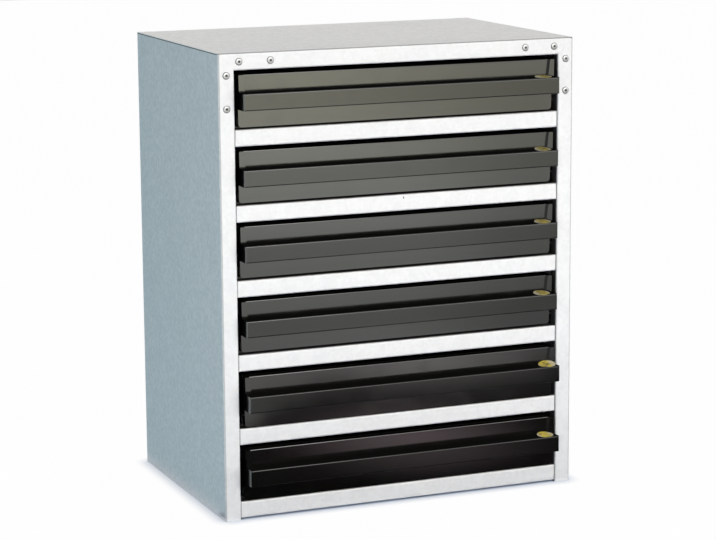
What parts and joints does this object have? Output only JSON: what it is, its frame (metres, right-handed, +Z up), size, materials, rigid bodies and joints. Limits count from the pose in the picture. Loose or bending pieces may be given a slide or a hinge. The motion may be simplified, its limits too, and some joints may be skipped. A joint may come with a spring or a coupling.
{
  "type": "drawer cabinet",
  "caption": "Bench-top small-parts cabinet: folded galvanised steel carcass with riveted top corners and moulded drawers that slide on steel runners and pull by a full-width lip.",
  "frame": {"origin": "on the floor plane under the middle of the overall box", "axes": "+Z up, -Y out of the front where the drawers open, +X to the right seen from the front"},
  "size_m": [0.357, 0.256, 0.435],
  "materials": {
    "galvanised_steel": "bare galvanised sheet with a fine spangle",
    "black_plastic": "satin moulded polymer",
    "rivet_aluminium": "bare blind rivets"
  },
  "bodies": {
    "cabinet": {"left_side_panel": "galvanised_steel", "right_side_panel": "galvanised_steel", "top_panel": "galvanised_steel", "bottom_panel": "galvanised_steel", "back_panel": "galvanised_steel", "cross_rail_1": "galvanised_steel", "cross_rail_2": "galvanised_steel", "cross_rail_3": "galvanised_steel", "cross_rail_4": "galvanised_steel", "cross_rail_5": "galvanised_steel", "bottom_rail": "galvanised_steel", "left_corner_bracket": "galvanised_steel", "right_corner_bracket": "galvanised_steel", "corner_rivets": "rivet_aluminium", "left_runner_1": "galvanised_steel", "right_runner_1": "galvanised_steel", "left_runner_2": "galvanised_steel", "right_runner_2": "galvanised_steel", "left_runner_3": "galvanised_steel", "right_runner_3": "galvanised_steel", "left_runner_4": "galvanised_steel", "right_runner_4": "galvanised_steel", "left_runner_5": "galvanised_steel", "right_runner_5": "galvanised_steel", "left_runner_6": "galvanised_steel", "right_runner_6": "galvanised_steel"},
    "drawer_1": {"drawer_1": "black_plastic"},
    "drawer_2": {"drawer_2": "black_plastic"},
    "drawer_3": {"drawer_3": "black_plastic"},
    "drawer_4": {"drawer_4": "black_plastic"},
    "drawer_5": {"drawer_5": "black_plastic"},
    "drawer_6": {"drawer_6": "black_plastic"}
  },
  "joints": [
    {"name": "drawer_1_slide", "type": "slide", "parent": "cabinet", "child": "drawer_1", "axis": [0, -1, 0], "range_m": [-0.0015, 0.2025]},
    {"name": "drawer_2_slide", "type": "slide", "parent": "cabinet", "child": "drawer_2", "axis": [0, -1, 0], "range_m": [0, 0.204]},
    {"name": "drawer_3_slide", "type": "slide", "parent": "cabinet", "child": "drawer_3", "axis": [0, -1, 0], "range_m": [0, 0.204]},
    {"name": "drawer_4_slide", "type": "slide", "parent": "cabinet", "child": "drawer_4", "axis": [0, -1, 0], "range_m": [0, 0.204]},
    {"name": "drawer_5_slide", "type": "slide", "parent": "cabinet", "child": "drawer_5", "axis": [0, -1, 0], "range_m": [-0.0065, 0.1975]},
    {"name": "drawer_6_slide", "type": "slide", "parent": "cabinet", "child": "drawer_6", "axis": [0, -1, 0], "range_m": [-0.0065, 0.1975]}
  ]
}
